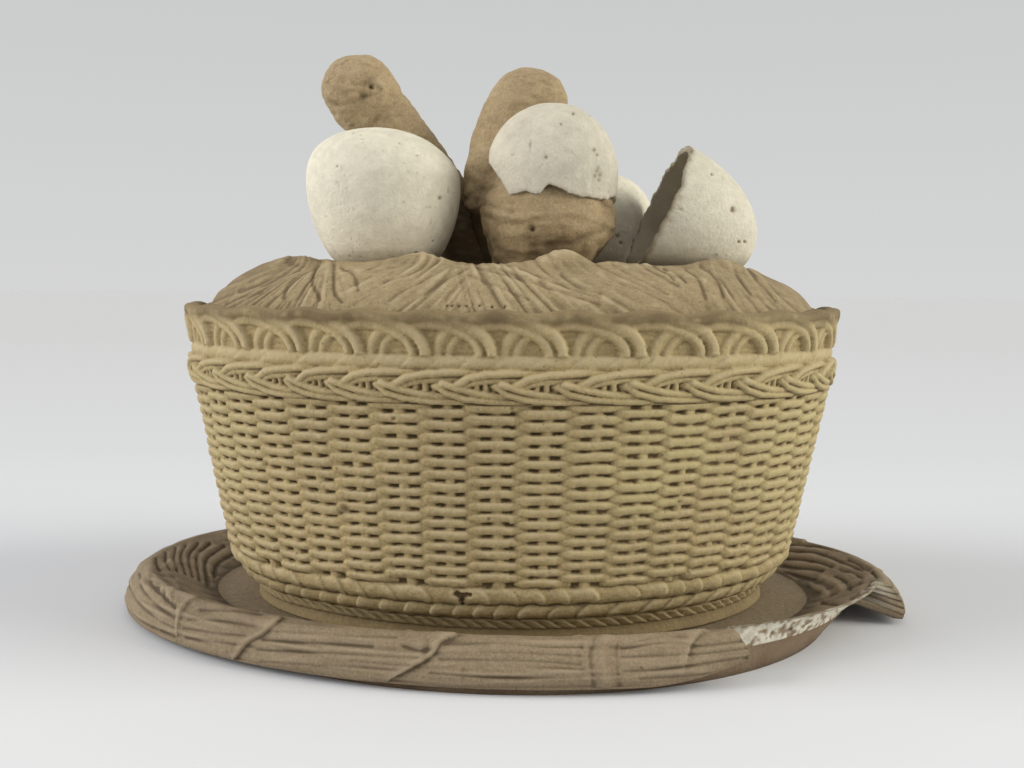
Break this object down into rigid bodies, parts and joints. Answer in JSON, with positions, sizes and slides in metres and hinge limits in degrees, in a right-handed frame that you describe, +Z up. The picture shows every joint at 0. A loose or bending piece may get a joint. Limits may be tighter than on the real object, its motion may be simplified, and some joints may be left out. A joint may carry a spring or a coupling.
{
  "type": "covered oval game dish",
  "caption": "Oval unglazed stoneware dish moulded as a basket, on a straw-edged stand, with a liner and a lift-off straw cover bearing eggs, broken shells and two hatchlings",
  "frame": {"origin": "on the table under the middle of the dish", "axes": "+X along the oval to the right as the front is seen, -Y towards the front, +Z up"},
  "size_m": [0.327, 0.227, 0.2326],
  "materials": {
    "stand_stoneware": "dry unglazed stoneware, a darker brown buff than the dish, grime in its straw relief",
    "cane_stoneware": "dry unglazed cane-coloured stoneware, matte, fine relief",
    "liner_glaze": "plain glazed liner, smooth cream glaze",
    "cover_stoneware": "dry unglazed stoneware modelled as loose straw, matte",
    "white_stoneware": "dry off-white stoneware, smooth and matte",
    "bird_stoneware": "dry brown-buff stoneware, softly modelled, matte"
  },
  "bodies": {
    "stand": {"stand": "stand_stoneware"},
    "dish": {"basket_body": "cane_stoneware"},
    "liner": {"liner": "liner_glaze"},
    "cover": {"cover": "cover_stoneware", "egg_whole_left": "white_stoneware", "egg_whole_back": "white_stoneware", "eggshell_cap": "white_stoneware", "eggshell_open": "white_stoneware", "hatchling_left": "bird_stoneware", "hatchling_middle": "bird_stoneware"}
  },
  "joints": [
    {"name": "lift_dish", "type": "slide", "parent": "stand", "child": "dish", "axis": [0, 0, 1], "range_m": [0, 0.06]},
    {"name": "lift_liner", "type": "slide", "parent": "dish", "child": "liner", "axis": [0, 0, 1], "range_m": [0, 0.13]},
    {"name": "lift_cover", "type": "slide", "parent": "liner", "child": "cover", "axis": [0, 0, 1], "range_m": [0, 0.12]}
  ]
}
